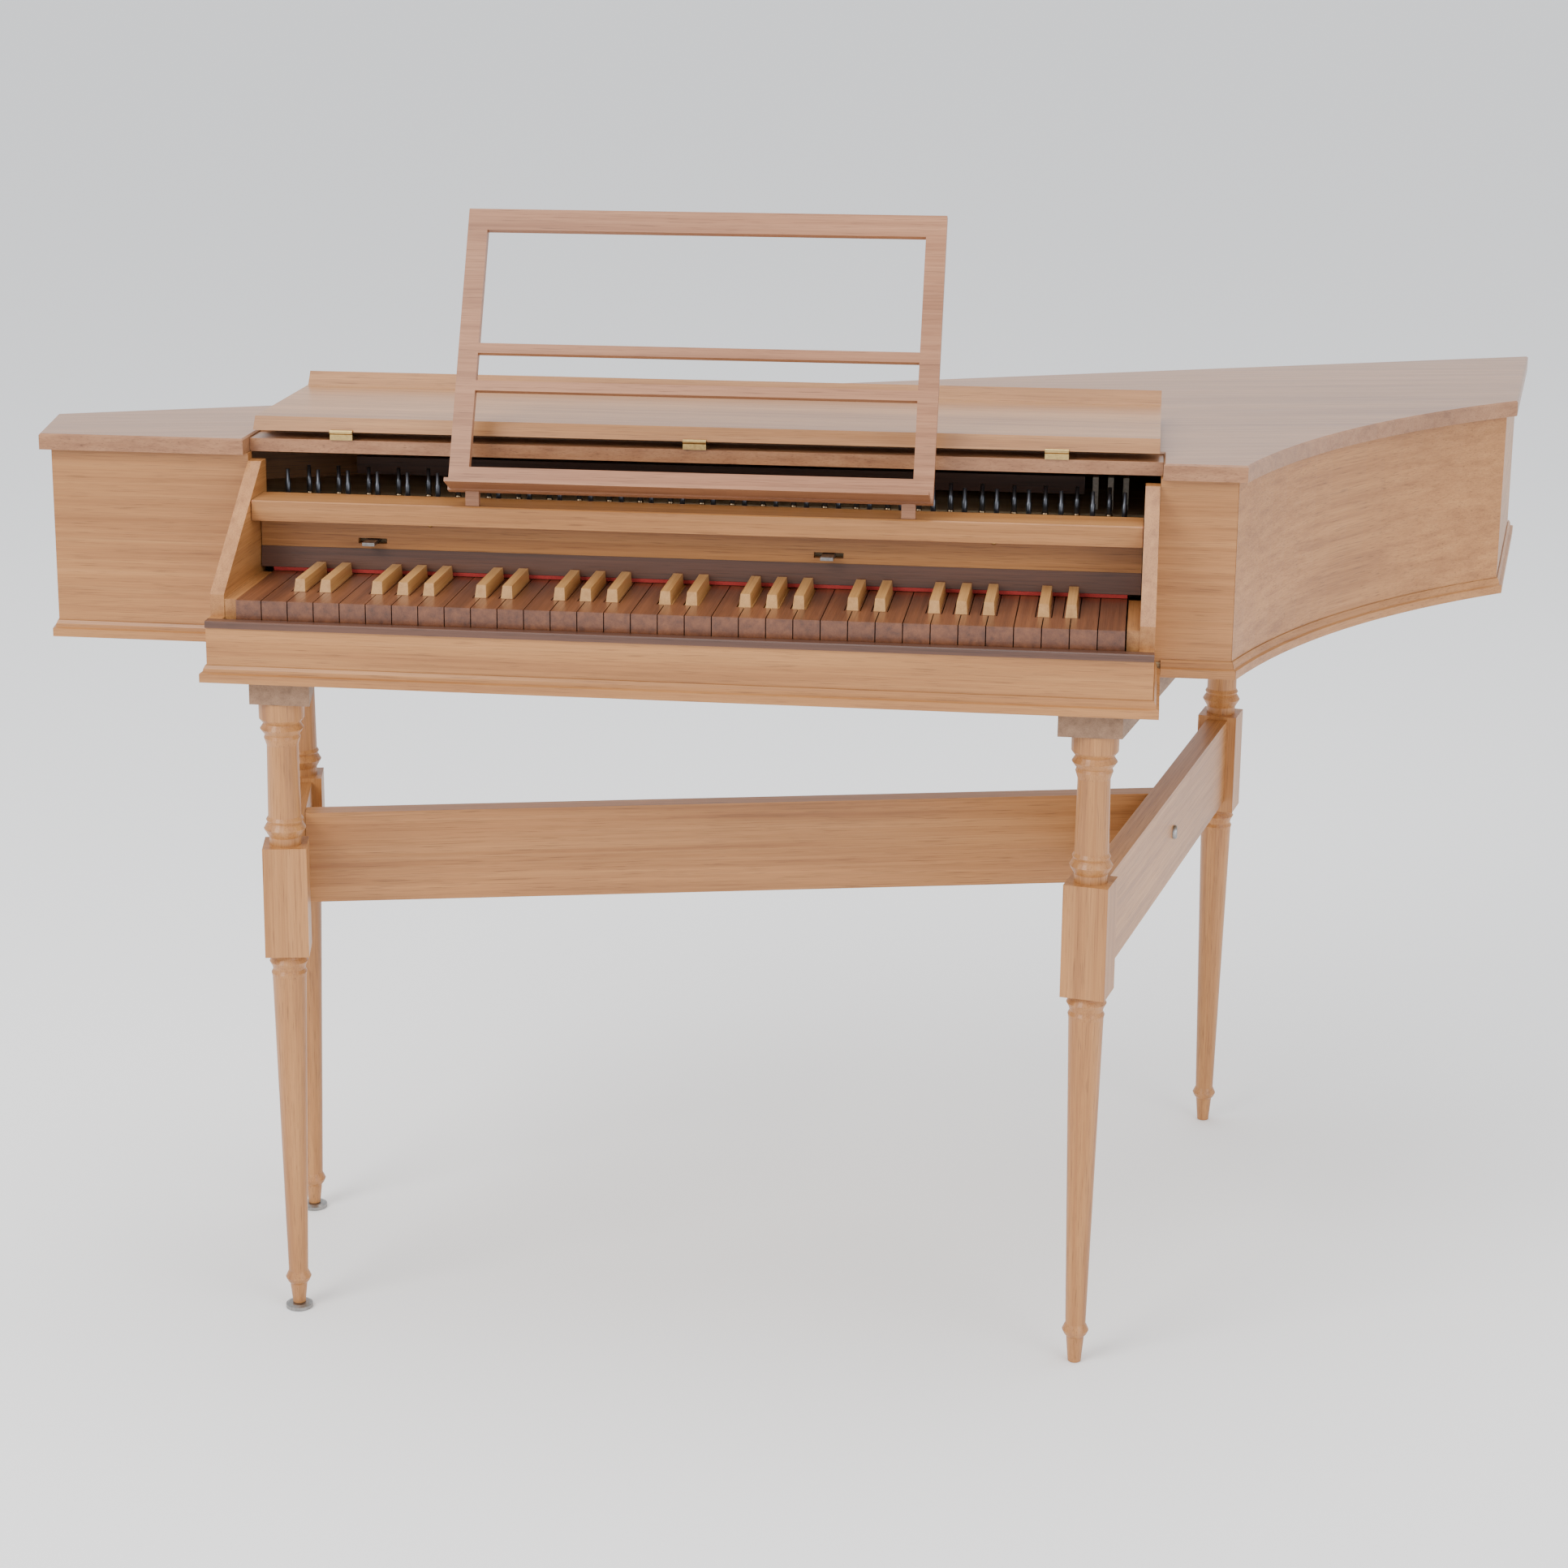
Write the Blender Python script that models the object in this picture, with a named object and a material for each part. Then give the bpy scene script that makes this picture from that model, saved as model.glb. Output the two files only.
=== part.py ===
"""Bentside spinet on a turned stand. Metres, +Z up, the floor at z = 0, the player on the -Y side."""

import math

import bmesh
import bpy
from mathutils import Matrix

# Shared clearances
GAP = 0.0003
SIDE_GAP = 0.0009
OVERLAP = 0.004

# Keyboard
NATURALS = 33
NATURAL_PITCH = 0.02288
KEY_TOP = 0.663
KEY_THICK = 0.017
KEY_LENGTH = 0.300
KEY_VISIBLE = 0.1208
HEAD_LENGTH = 0.040
SHARP_WIDTH = 0.0105
SHARP_HEIGHT = 0.0105
SHARP_LENGTH = 0.076
SHARP_SLOPE = 0.004
SHARP_TAPER = 0.0012
LEVER_WIDTH = 0.0125
BALANCE_Y = 0.185
FIRST_SINGLE = 15
SINGLE_NATURALS = 7
SHARP_AFTER = (1, 2, 4, 5, 6)
OCTAVE = 7

# Key well
WELL_HALF = 0.4015
CHEEK_THICK = 0.0125
CHEEK_FOOT_Y = 0.0055
CHEEK_FOOT_Z = 0.666
CHEEK_HEAD_Y = 0.1325
CHEEK_HEAD_Z = 0.7595
SLIP_THICK = 0.0085
SLIP_GAP = 0.0022
CAP_TOP = 0.6465
CAP_THICK = 0.006
CAP_LIP = 0.0022

# Case
CASE_BOTTOM = 0.593
CASE_TOP = 0.766
BOARD = 0.012
BOTTOM_THICK = 0.012
PANEL_Y = 0.1347
LEFT_FRONT_X = -0.5846
RIGHT_FRONT_X = 0.4675
LEFT_BACK = (-0.603, 0.236)
TAIL_BACK = (0.7655, 0.812)
TAIL_FRONT = (0.726, 0.5195)
BENTSIDE_SAG = 0.031
BENTSIDE_STEPS = 16
MOULD_HEIGHT = 0.0145
MOULD_DEPTH = 0.0055
MOULD_BAND = 0.0075

# Action and soundboard
NAMEBOARD_THICK = 0.009
STRIP_HEIGHT = 0.0184
STRIP_THICK = 0.003
STRIP_FOOT = 0.6669
BATTEN_FRONT = 0.0945
BATTEN_BACK = 0.135
BATTEN_TOP = 0.7315
BATTEN_THICK = 0.018
SLOT_CENTRES = (-0.2867, 0.1195)
SLOT_LENGTH = 0.026
SLOT_HEIGHT = 0.005
SLOT_Z = 0.6922
LEVER_THICK = 0.003
LEVER_LENGTH = 0.011
LEVER_REACH = 0.016
PLANK_TOP = 0.7155
PLANK_THICK = 0.035
PLANK_BACK = 0.215
SOUNDBOARD_TOP = 0.7125
SOUNDBOARD_THICK = 0.004
RAIL_Y = 0.262
RAIL_WIDTH = 0.018
RAIL_THICK = 0.016
RAIL_TOP = 0.7425
RAIL_END = 0.335

# Lid, rail and flap
LID_THICK = 0.0145
LID_REACH = 0.0095
LID_RAIL_Y = 0.147
LID_RAIL_DEPTH = 0.035
LID_RAIL_THICK = 0.0118
HINGE_Y = 0.1455
HINGE_Z = 0.785
FLAP_HALF = 0.400
FLAP_THICK = 0.0115
FLAP_EDGE_Y = 0.1445
FLAP_GAP = 0.0012
LIP_INNER_Y = -0.001
LIP_THICK = 0.009
KNUCKLE_RADIUS = 0.0021
HINGE_CENTRES = (-0.3187, -0.0015, 0.3127)
HINGE_LENGTH = 0.0205
LEAF_DEPTH = 0.018
LEAF_THICK = 0.0014

# Music desk
DESK_WIDTH = 0.422
DESK_HEIGHT = 0.256
DESK_Y = 0.093
DESK_Z = 0.7465
DESK_LEAN = math.radians(24.7)
STILE = 0.0176
TOP_BAR = 0.0193
BOTTOM_BAR = 0.021
DESK_THICK = 0.008
THIN_BAR = 0.009
THIN_BAR_HEIGHTS = (0.0945, 0.1285)
LEDGE_DEPTH = 0.026
LEDGE_THICK = 0.0035
LEDGE_INSET = 0.002
DESK_FOOT_X = 0.190
DESK_FOOT_HALF = 0.006
DESK_FOOT_DEPTH = 0.006

# Stand
LEG_SIZE = 0.0385
LEG_TOP = 0.571
LEG_STEPS = 28
FRONT_LEFT = (-0.3453, 0.0205)
FRONT_RIGHT = (0.3556, 0.0205)
BACK_LEFT = (-0.390, 0.2401)
BACK_RIGHT = (0.4722, 0.6047)
BEARER_WIDTH = 0.0525
BEARER_FRONT = -0.001
BLOCK_TOP = 0.4409
BLOCK_BOTTOM = 0.3412
STRETCHER_TOP = 0.4374
STRETCHER_BOTTOM = 0.3523
STRETCHER_THICK = 0.0204
LONG_LEFT_SHARE = 0.46
LONG_RIGHT_SHARE = 0.487
LONG_DROP = 0.0002
GLIDE_RADIUS = 0.0122
GLIDE_THICK = 0.0045
LEG_PROFILE = (
    (0.0052, 0.0058), (0.0235, 0.0078), (0.0262, 0.0100), (0.0298, 0.0116), (0.0334, 0.0100),
    (0.0360, 0.0088), (0.3110, 0.0148), (0.3190, 0.0150), (0.3225, 0.0158), (0.3255, 0.0142),
    (0.3290, 0.0150), (0.3330, 0.0172), (0.3370, 0.0150), (0.3400, 0.0140), (0.3440, 0.0140),
    (0.4390, 0.0140), (0.4480, 0.0142), (0.4520, 0.0165), (0.4555, 0.0185), (0.4590, 0.0165),
    (0.4610, 0.0150), (0.4635, 0.0164), (0.4665, 0.0146), (0.5310, 0.0138), (0.5350, 0.0150),
    (0.5378, 0.0160), (0.5405, 0.0150), (0.5425, 0.0165), (0.5462, 0.0192), (0.5495, 0.0170),
    (0.5510, 0.0162), (0.5555, 0.0198), (0.5707, 0.0200),
)

# Finishes: colour, roughness, metallic
OAK = ("oak", (0.56, 0.32, 0.15), 0.45, 0.0)
ROSEWOOD = ("rosewood", (0.20, 0.08, 0.04), 0.4, 0.0)
MAPLE = ("maple", (0.70, 0.45, 0.20), 0.4, 0.0)
SPRUCE = ("spruce", (0.70, 0.52, 0.30), 0.5, 0.0)
BRASS = ("brass", (0.70, 0.50, 0.22), 0.3, 1.0)
STEEL = ("steel", (0.35, 0.34, 0.33), 0.35, 1.0)


def clear_scene():
    for obj in list(bpy.data.objects):
        bpy.data.objects.remove(obj)


def finish(obj, look):
    name, colour, roughness, metallic = look
    material = bpy.data.materials.get(name) or bpy.data.materials.new(name)
    material.use_nodes = True
    shader = material.node_tree.nodes["Principled BSDF"]
    shader.inputs["Base Color"].default_value = (*colour, 1.0)
    shader.inputs["Roughness"].default_value = roughness
    shader.inputs["Metallic"].default_value = metallic
    obj.data.materials.append(material)
    return obj


def make_object(name, bm, look, helper=False):
    bmesh.ops.recalc_face_normals(bm, faces=bm.faces)
    if bm.calc_volume(signed=True) < 0:
        bmesh.ops.reverse_faces(bm, faces=bm.faces)
    mesh = bpy.data.meshes.new(name)
    bm.to_mesh(mesh)
    bm.free()
    obj = bpy.data.objects.new(name, mesh)
    bpy.context.scene.collection.objects.link(obj)
    if helper:
        obj.hide_render = True
        obj.display_type = "WIRE"
    return finish(obj, look)


def add_prism(bm, outline, start, end):
    """Adds the closed outline, swept straight from start(point) to end(point)."""
    low = [bm.verts.new(start(p)) for p in outline]
    high = [bm.verts.new(end(p)) for p in outline]
    bm.faces.new(low)
    bm.faces.new(high)
    for i in range(len(outline)):
        j = (i + 1) % len(outline)
        bm.faces.new((low[i], low[j], high[j], high[i]))


def plan(name, outline, z0, z1, look):
    """A flat board: an outline in plan between two heights."""
    bm = bmesh.new()
    add_prism(bm, outline, lambda p: (p[0], p[1], z0), lambda p: (p[0], p[1], z1))
    return make_object(name, bm, look)


def along_x(name, outline, x0, x1, look, helper=False):
    """A profile in the Y-Z plane, swept along X."""
    bm = bmesh.new()
    add_prism(bm, outline, lambda p: (x0, p[0], p[1]), lambda p: (x1, p[0], p[1]))
    return make_object(name, bm, look, helper)


def rectangle(a0, b0, a1, b1):
    return [(a0, b0), (a1, b0), (a1, b1), (a0, b1)]


def add_box(bm, x0, x1, y0, y1, z0, z1):
    add_prism(bm, rectangle(x0, y0, x1, y1), lambda p: (p[0], p[1], z0), lambda p: (p[0], p[1], z1))


def combine(obj, other, operation):
    modifier = obj.modifiers.new(operation.lower(), "BOOLEAN")
    modifier.operation = operation
    modifier.solver = "EXACT"
    modifier.object = other
    graph = bpy.context.evaluated_depsgraph_get()
    mesh = bpy.data.meshes.new_from_object(obj.evaluated_get(graph))
    obj.modifiers.clear()
    obj.data = mesh
    bpy.data.objects.remove(other)
    return obj


def smooth(obj):
    for face in obj.data.polygons:
        face.use_smooth = True
    obj.data.set_sharp_from_angle(angle=math.radians(35))


def unit(a, b):
    length = math.dist(a, b)
    return ((b[0] - a[0]) / length, (b[1] - a[1]) / length)


def shifted(a, b, distance):
    """The line a-b moved to its right-hand side by distance."""
    ux, uy = unit(a, b)
    return ((a[0] + uy * distance, a[1] - ux * distance), (b[0] + uy * distance, b[1] - ux * distance))


def crossing(line_a, line_b):
    (x1, y1), (x2, y2) = line_a
    (x3, y3), (x4, y4) = line_b
    det = (x1 - x2) * (y3 - y4) - (y1 - y2) * (x3 - x4)
    a = x1 * y2 - y1 * x2
    b = x3 * y4 - y3 * x4
    return ((a * (x3 - x4) - (x1 - x2) * b) / det, (a * (y3 - y4) - (y1 - y2) * b) / det)


def bentside_centre():
    """Centre and radius of the arc from the right front corner to the tail."""
    start = (RIGHT_FRONT_X, PANEL_Y)
    chord = math.dist(start, TAIL_FRONT)
    radius = (chord * chord / 4 + BENTSIDE_SAG ** 2) / (2 * BENTSIDE_SAG)
    ux, uy = unit(start, TAIL_FRONT)
    middle = ((start[0] + TAIL_FRONT[0]) / 2, (start[1] + TAIL_FRONT[1]) / 2)
    reach = radius - BENTSIDE_SAG
    return (middle[0] + uy * reach, middle[1] - ux * reach), radius


def bentside_points(offset, front_y, tail_line):
    """Points of the bentside moved out by offset, from the line y = front_y to the tail line."""
    centre, radius = bentside_centre()
    radius = radius - offset
    first = math.asin((front_y - centre[1]) / radius)
    first = math.pi - first
    low = math.atan2(TAIL_FRONT[1] - centre[1], TAIL_FRONT[0] - centre[0]) - 0.2
    (ax, ay), (bx, by) = tail_line
    normal = (ay - by, bx - ax)

    def side(angle):
        x = centre[0] + radius * math.cos(angle)
        y = centre[1] + radius * math.sin(angle)
        return (x - ax) * normal[0] + (y - ay) * normal[1]

    inner, outer = first, low
    for _ in range(60):
        middle = (inner + outer) / 2
        if side(middle) < 0:
            inner = middle
        else:
            outer = middle
    angles = [first + (inner - first) * i / BENTSIDE_STEPS for i in range(BENTSIDE_STEPS + 1)]
    return [(centre[0] + radius * math.cos(a), centre[1] + radius * math.sin(a)) for a in angles]


def case_lines(offset):
    """The straight sides of the case moved out by offset: left side, spine and tail."""
    left = shifted((LEFT_FRONT_X, PANEL_Y), LEFT_BACK, -offset)
    spine = shifted(LEFT_BACK, TAIL_BACK, -offset)
    tail = shifted(TAIL_BACK, TAIL_FRONT, -offset)
    return left, spine, tail


def case_outline(offset, front_offset):
    """Plan of the case: front left, back left, tail back, then the bentside towards the front."""
    left, spine, tail = case_lines(offset)
    front_y = PANEL_Y - front_offset
    front = ((-1.0, front_y), (1.0, front_y))
    bend = bentside_points(offset, front_y, tail)
    return [crossing(left, front), crossing(left, spine), crossing(spine, tail)] + bend[::-1]


def case_nodes():
    top = CASE_TOP - GAP
    foot = CASE_BOTTOM + BOTTOM_THICK + GAP
    outer = case_outline(0.0, 0.0)
    inner = case_outline(-BOARD, -BOARD)
    floor = [(-WELL_HALF, outer[0][1]), outer[0], outer[1], outer[2]] + outer[3:]
    floor += [(WELL_HALF, PANEL_Y), (WELL_HALF, -SLIP_GAP - SLIP_THICK), (-WELL_HALF, -SLIP_GAP - SLIP_THICK)]
    plan("bottom_board", floor, CASE_BOTTOM, CASE_BOTTOM + BOTTOM_THICK, OAK)
    front_left, back_left, tail_back = outer[:3]
    tail_front = outer[3]
    in_left, in_back, in_tail = inner[:3]
    in_bend = inner[3:]
    bend = outer[3:]
    cut = GAP / 2
    left_face = [(front_left[0], PANEL_Y), (-WELL_HALF - GAP, PANEL_Y),
                 (-WELL_HALF - GAP, PANEL_Y + BOARD), (in_left[0], PANEL_Y + BOARD)]
    plan("front_panel_left", left_face, foot, top, OAK)
    right_face = [(WELL_HALF + GAP, PANEL_Y), (RIGHT_FRONT_X - cut, PANEL_Y),
                  (in_bend[-1][0] - cut, PANEL_Y + BOARD), (WELL_HALF + GAP, PANEL_Y + BOARD)]
    plan("front_panel_right", right_face, foot, top, OAK)

    def trimmed(a, b, c, d, at_start, at_end):
        """A wall from a to b with inner face d-c, shortened by a gap at the ends asked for."""
        ux, uy = unit(a, b)
        s, e = GAP * at_start, GAP * at_end
        return [(a[0] + ux * s, a[1] + uy * s), (b[0] - ux * e, b[1] - uy * e),
                (c[0] - ux * e, c[1] - uy * e), (d[0] + ux * s, d[1] + uy * s)]

    plan("side_left", trimmed(front_left, back_left, in_back, in_left, 1, 1), foot, top, OAK)
    plan("spine", trimmed(back_left, tail_back, in_tail, in_back, 1, 1), foot, top, OAK)
    plan("tail", trimmed(tail_back, tail_front, in_bend[0], in_tail, 1, 1), foot, top, OAK)
    ux, uy = unit(TAIL_FRONT, TAIL_BACK)
    wall = [(x - ux * GAP * (i == 0), y - uy * GAP * (i == 0)) for i, (x, y) in enumerate(bend)]
    back = [(x - ux * GAP * (i == 0), y - uy * GAP * (i == 0)) for i, (x, y) in enumerate(in_bend)]
    wall[-1] = (wall[-1][0] + cut, wall[-1][1])
    back[-1] = (back[-1][0] + cut, back[-1][1])
    smooth(plan("bentside", wall + back[::-1], foot, top, OAK))
    mould_nodes(outer)


def mould_ring(name, rows, look):
    """A moulding through rows of profile points, one row for each corner of its path."""
    bm = bmesh.new()
    rings = [[bm.verts.new(p) for p in row] for row in rows]
    for a, b in zip(rings, rings[1:]):
        for i in range(len(a)):
            j = (i + 1) % len(a)
            bm.faces.new((a[i], a[j], b[j], b[i]))
    bm.faces.new(rings[0])
    bm.faces.new(rings[-1])
    return make_object(name, bm, look)


def mould_profile():
    """Offsets out of the face, and heights above the foot, of the base moulding."""
    h = MOULD_HEIGHT
    d = MOULD_DEPTH
    return ((GAP, 0.0), (d, 0.0), (d, MOULD_BAND), (d * 0.55, MOULD_BAND + 0.001),
            (d * 0.45, h * 0.8), (d * 0.2, h), (GAP, h))


def mould_nodes(outer):
    profile = mould_profile()
    outlines = [case_outline(out, out) for out, _ in profile]
    rise = [CASE_BOTTOM + up for _, up in profile]

    def row(index, shift=(0.0, 0.0)):
        return [(o[index][0] + shift[0], o[index][1] + shift[1], z) for o, z in zip(outlines, rise)]

    def at_x(x):
        return [(x, o[0][1], z) for o, z in zip(outlines, rise)]

    last = len(outer) - 1
    left_end = -WELL_HALF - GAP
    mould_ring("mould_left", [at_x(left_end), row(0), row(1, (0.0, -GAP))], OAK)
    mould_ring("mould_right", [at_x(WELL_HALF + MOULD_DEPTH + GAP), row(last, (-GAP, 0.0))], OAK)
    smooth(mould_ring("mould_bentside", [row(i) for i in range(last, 2, -1)], OAK))
    ux, uy = unit(outer[3], outer[2])
    mould_ring("mould_tail", [row(3, (ux * GAP, uy * GAP)), row(2, (-ux * GAP, -uy * GAP))], OAK)


def slip_nodes():
    front = -SLIP_GAP - SLIP_THICK
    back = -SLIP_GAP
    foot = CASE_BOTTOM + BOTTOM_THICK + GAP
    board_top = CAP_TOP - CAP_THICK - GAP
    along_x("key_slip", rectangle(front, foot, back, board_top), -WELL_HALF, WELL_HALF, OAK)
    cap = [(front - CAP_LIP, CAP_TOP - CAP_THICK), (back, CAP_TOP - CAP_THICK), (back, CAP_TOP),
           (front - CAP_LIP + 0.001, CAP_TOP), (front - CAP_LIP, CAP_TOP - 0.001)]
    along_x("slip_cap", cap, -WELL_HALF, WELL_HALF, ROSEWOOD)
    x0 = WELL_HALF
    rows = []
    for corner in range(4):
        row = []
        for out, up in mould_profile():
            z = CASE_BOTTOM + up
            x = x0 + out
            y = front - out
            row.append(((-x, PANEL_Y - MOULD_DEPTH - GAP, z), (-x, y, z), (x, y, z),
                        (x, PANEL_Y - MOULD_DEPTH - GAP, z))[corner])
        rows.append(row)
    mould_ring("mould_slip", rows, OAK)


def cheek_nodes():
    foot = CASE_BOTTOM + BOTTOM_THICK + GAP
    back = PANEL_Y + BOARD
    front = -SLIP_GAP + GAP
    slope = [(CHEEK_FOOT_Y, CHEEK_FOOT_Z), (CHEEK_HEAD_Y, CHEEK_HEAD_Z)]
    outline = [(front, foot), (back, foot), (back, CHEEK_HEAD_Z), slope[1], slope[0],
               (CHEEK_FOOT_Y, CAP_TOP), (front, CAP_TOP)]
    block_top = KEY_TOP - 0.001
    for name, side in (("cheek_left", -1), ("cheek_right", 1)):
        outer = side * WELL_HALF
        inner = side * (WELL_HALF - CHEEK_THICK)
        cheek = along_x(name, outline, outer, inner, OAK)
        block_end = side * (NATURALS * NATURAL_PITCH / 2 + SIDE_GAP)
        block = rectangle(CHEEK_FOOT_Y + 0.0008, foot + 0.001, KEY_VISIBLE, block_top)
        combine(cheek, along_x("block", block, inner + side * OVERLAP, block_end, OAK, True), "UNION")


def natural_left(index):
    return (index - NATURALS / 2) * NATURAL_PITCH


def has_sharp(boundary):
    """True where a sharp stands between natural boundary - 1 and natural boundary."""
    return 0 < boundary < NATURALS and (boundary - 1) % OCTAVE in SHARP_AFTER


def add_sharp_top(bm, x, base):
    """The raised part of a sharp: sloped front and sides drawn in towards the top."""
    y0 = HEAD_LENGTH
    y1 = y0 + SHARP_LENGTH
    half = SHARP_WIDTH / 2
    top_half = half - SHARP_TAPER
    z0, z1 = base, KEY_TOP + SHARP_HEIGHT
    low = [bm.verts.new(p) for p in ((x - half, y0, z0), (x + half, y0, z0), (x + half, y1, z0), (x - half, y1, z0))]
    high = [bm.verts.new(p) for p in ((x - top_half, y0 + SHARP_SLOPE, z1), (x + top_half, y0 + SHARP_SLOPE, z1),
                                      (x + top_half, y1, z1), (x - top_half, y1, z1))]
    bm.faces.new(low)
    bm.faces.new(high)
    for i in range(4):
        j = (i + 1) % 4
        bm.faces.new((low[i], low[j], high[j], high[i]))


def single_natural(index):
    """One natural: full width in front, narrower beside each sharp's lever."""
    left = natural_left(index) + SIDE_GAP / 2
    right = natural_left(index + 1) - SIDE_GAP / 2
    notch = LEVER_WIDTH / 2 + SIDE_GAP - SIDE_GAP / 2
    tail_left = left + (notch if has_sharp(index) else 0.0)
    tail_right = right - (notch if has_sharp(index + 1) else 0.0)
    head = HEAD_LENGTH - SIDE_GAP
    outline = [(left, 0.0), (right, 0.0)]
    if has_sharp(index + 1):
        outline += [(right, head), (tail_right, head)]
    outline += [(tail_right, KEY_LENGTH), (tail_left, KEY_LENGTH)]
    if has_sharp(index):
        outline += [(tail_left, head), (left, head)]
    key = plan(f"natural_{index + 1}", outline, KEY_TOP - KEY_THICK, KEY_TOP, ROSEWOOD)
    set_origin(key, ((left + right) / 2, BALANCE_Y, KEY_TOP - KEY_THICK))


def single_sharp(boundary):
    x = natural_left(boundary)
    bm = bmesh.new()
    add_box(bm, x - LEVER_WIDTH / 2, x + LEVER_WIDTH / 2, HEAD_LENGTH, KEY_LENGTH, KEY_TOP - KEY_THICK, KEY_TOP - 0.001)
    key = make_object(f"sharp_{boundary}", bm, MAPLE)
    bm = bmesh.new()
    add_sharp_top(bm, x, KEY_TOP - 0.003)
    combine(key, make_object("top", bm, MAPLE, True), "UNION")
    set_origin(key, (x, BALANCE_Y, KEY_TOP - KEY_THICK))


def set_origin(obj, point):
    obj.data.transform(Matrix.Translation([-v for v in point]))
    obj.location = point


def key_group(name, first, end):
    """A run of keys held as one body by a bar at their backs."""
    left = natural_left(first) + SIDE_GAP / 2
    right = natural_left(end) - SIDE_GAP / 2
    notch = LEVER_WIDTH / 2 + SIDE_GAP / 2
    left_tail = left + (notch if has_sharp(first) else 0.0)
    right_tail = right - (notch if has_sharp(end) else 0.0)
    head = HEAD_LENGTH - SIDE_GAP
    outline = [(left, 0.0), (right, 0.0), (right, head), (right_tail, head), (right_tail, KEY_LENGTH),
               (left_tail, KEY_LENGTH), (left_tail, head), (left, head)]
    outline = [p for i, p in enumerate(outline) if p != outline[i - 1]]
    group = plan(name, outline, KEY_TOP - KEY_THICK, KEY_TOP, ROSEWOOD)
    slots = bmesh.new()
    tops = bmesh.new()
    z0, z1 = KEY_TOP - KEY_THICK - 0.01, KEY_TOP + 0.01
    slot_back = KEY_VISIBLE + 0.03
    half_lever = LEVER_WIDTH / 2
    for boundary in range(first + 1, end):
        x = natural_left(boundary)
        if not has_sharp(boundary):
            add_box(slots, x - SIDE_GAP / 2, x + SIDE_GAP / 2, -0.01, slot_back, z0, z1)
            continue
        fork = [(x - SIDE_GAP / 2, -0.01), (x + SIDE_GAP / 2, -0.01), (x + SIDE_GAP / 2, head),
                (x + half_lever + SIDE_GAP, head), (x + half_lever + SIDE_GAP, slot_back),
                (x + half_lever, slot_back), (x + half_lever, HEAD_LENGTH), (x - half_lever, HEAD_LENGTH),
                (x - half_lever, slot_back), (x - half_lever - SIDE_GAP, slot_back),
                (x - half_lever - SIDE_GAP, head), (x - SIDE_GAP / 2, head)]
        add_prism(slots, fork, lambda p: (p[0], p[1], z0), lambda p: (p[0], p[1], z1))
        add_sharp_top(tops, x, KEY_TOP - 0.003)
    combine(group, make_object("slots", slots, ROSEWOOD, True), "DIFFERENCE")
    combine(group, make_object("tops", tops, MAPLE, True), "UNION")
    set_origin(group, (0.0, BALANCE_Y, KEY_TOP - KEY_THICK))


def keyboard_nodes():
    last = FIRST_SINGLE + SINGLE_NATURALS
    key_group("keys_bass", 0, FIRST_SINGLE)
    for index in range(FIRST_SINGLE, last):
        single_natural(index)
    for boundary in range(FIRST_SINGLE + 1, last):
        if has_sharp(boundary):
            single_sharp(boundary)
    key_group("keys_treble", last, NATURALS)
    foot = CASE_BOTTOM + BOTTOM_THICK + GAP
    base = foot + 0.012
    under = KEY_TOP - KEY_THICK - GAP
    pad = under - 0.009
    half = 0.012
    outline = [(0.004, foot), (KEY_LENGTH, foot), (KEY_LENGTH, under - 0.003), (KEY_LENGTH - 0.03, under - 0.003),
               (KEY_LENGTH - 0.03, base), (BALANCE_Y + half, base), (BALANCE_Y + half * 0.2, under),
               (BALANCE_Y - half * 0.2, under), (BALANCE_Y - half, base), (0.035, base), (0.035, pad), (0.004, pad)]
    reach = NATURALS * NATURAL_PITCH / 2
    along_x("key_frame", outline, -reach, reach, SPRUCE)


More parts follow.
